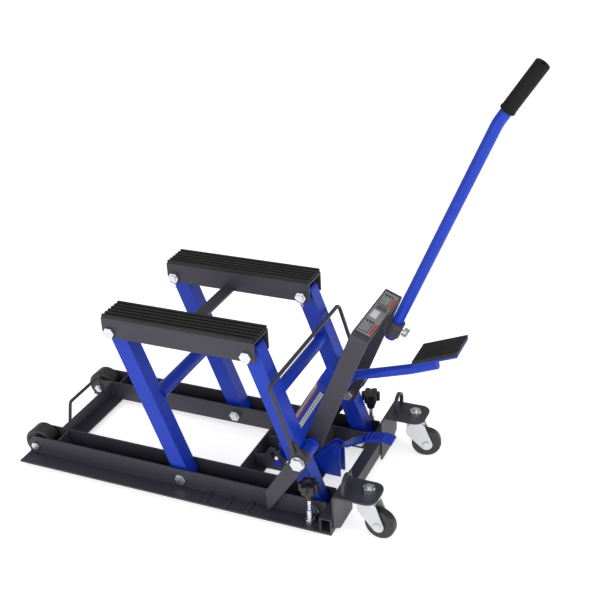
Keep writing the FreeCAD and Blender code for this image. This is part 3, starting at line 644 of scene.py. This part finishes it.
def lathe(name, start, way, profile, body, slot_name, material, count=40):
    """A turned piece: profile is a list of (along, radius) in millimetres from start."""
    way = way.normalized()
    side = way.orthogonal().normalized()
    other = way.cross(side)
    build = bmesh.new()
    rings = []
    for along, radius in profile:
        ring = []
        for step in range(count):
            angle = 2 * math.pi * step / count
            out = side * math.cos(angle) + other * math.sin(angle)
            ring.append(build.verts.new(start + way * (along / 1000) + out * (radius / 1000)))
        rings.append(ring)
    for first, second in zip(rings, rings[1:]):
        for index in range(count):
            following = (index + 1) % count
            build.faces.new((first[index], first[following], second[following], second[index]))
    build.faces.new(list(reversed(rings[0])))
    build.faces.new(rings[-1])
    mesh = finish_mesh(build, name)
    mesh.shade_smooth()
    return piece(name, mesh, body, slot_name, material)


def make_turned_parts():
    """The oil seal on the jack head and the collar at the foot of the grip."""
    seal_start = leaned_place(JACK_FOOT, JACK_LEAN, 0, 0, 307.1)
    jack_way = leaned_place(JACK_FOOT, JACK_LEAN, 0, 0, 400) - seal_start
    seal_profile = ((0, 15), (0.4, 15), (2.2, 14), (3, 11.5))
    lathe("ram_oil_seal", seal_start, jack_way, seal_profile, "jack", "grip_rubber", SEAL)
    end = place(GRIP_END[0], 0, GRIP_END[1])
    way = (end - place(HANDLE_BEND[0], 0, HANDLE_BEND[1])).normalized()
    lathe("grip_collar", end - way * 0.105, way, ((0, 12.3), (0.1, 15.2), (1, 16), (4, 16), (5, 15.4)),
          "handle", "grip_rubber", MATERIALS["grip_rubber"])


# ---- Stage, light and camera ----

def make_stage():
    bpy.ops.mesh.primitive_plane_add(size=40, location=(0, 0, 0))
    floor = bpy.context.object
    floor.name = "studio_floor"
    material = bpy.data.materials.new("pale_floor")
    material.use_nodes = True
    shader = material.node_tree.nodes["Principled BSDF"]
    shader.inputs["Base Color"].default_value = (0.86, 0.86, 0.86, 1)
    shader.inputs["Roughness"].default_value = 0.9
    shader.inputs["Emission Color"].default_value = (1, 1, 1, 1)
    shader.inputs["Emission Strength"].default_value = 0.62
    floor.data.materials.append(material)


def area_light(name, where, target, size, power):
    light = bpy.data.lights.new(name, "AREA")
    light.shape = "RECTANGLE"
    light.size, light.size_y = size
    light.energy = power
    thing = bpy.data.objects.new(name, light)
    thing.location = where
    way = Vector(target) - Vector(where)
    thing.rotation_euler = way.to_track_quat("-Z", "Y").to_euler()
    bpy.context.scene.collection.objects.link(thing)


# Each lamp: name, place, what it points at, size in metres and power in watts.
LAMPS = (
    ("front_softbox", (-0.5, -3.4, 1.5), (0, 0, 0.25), (3.0, 1.8), 62),
    ("right_softbox", (3.4, -0.9, 1.3), (0.1, 0, 0.25), (2.2, 1.8), 52),
    ("top_panel", (0.0, 0.4, 3.6), (0, 0, 0), (3.5, 3.5), 30),
)
WORLD_STRENGTH = 0.4


def make_light():
    for lamp in LAMPS:
        area_light(*lamp)
    world = bpy.data.worlds.new("studio")
    world.use_nodes = True
    world.node_tree.nodes["Background"].inputs["Color"].default_value = (1, 1, 1, 1)
    world.node_tree.nodes["Background"].inputs["Strength"].default_value = WORLD_STRENGTH
    bpy.context.scene.world = world


# The camera: azimuth, elevation and roll in degrees, its place in the drawing, and its lens.
CAMERA_ANGLES = (24.83, 27.02, 3.05)
CAMERA_PLACE = (1556.9, -1925.6, 1522.0)
CAMERA_LENS = 66.09


def make_camera():
    azimuth, elevation, roll = (math.radians(angle) for angle in CAMERA_ANGLES)
    back = Vector((math.sin(azimuth) * math.cos(elevation), -math.cos(azimuth) * math.cos(elevation),
                   math.sin(elevation)))
    right = (-back).cross(Vector((0, 0, 1))).normalized()
    down = (-back).cross(right)
    turned_right = right * math.cos(roll) + down * math.sin(roll)
    turned_down = down * math.cos(roll) - right * math.sin(roll)
    turn = Matrix((turned_right, -turned_down, back)).transposed()
    data = bpy.data.cameras.new("studio_camera")
    data.sensor_width = 36
    data.lens = CAMERA_LENS
    camera = bpy.data.objects.new("studio_camera", data)
    camera.matrix_world = Matrix.Translation(place(*CAMERA_PLACE)) @ turn.to_4x4()
    bpy.context.scene.collection.objects.link(camera)
    bpy.context.scene.camera = camera


paint_cad_nodes()
make_welds()
make_floor_screws()
stirrup_label()
jack_label()
make_clips()
make_turned_parts()
make_stage()
make_light()
make_camera()
bpy.context.scene.view_settings.view_transform = "Standard"
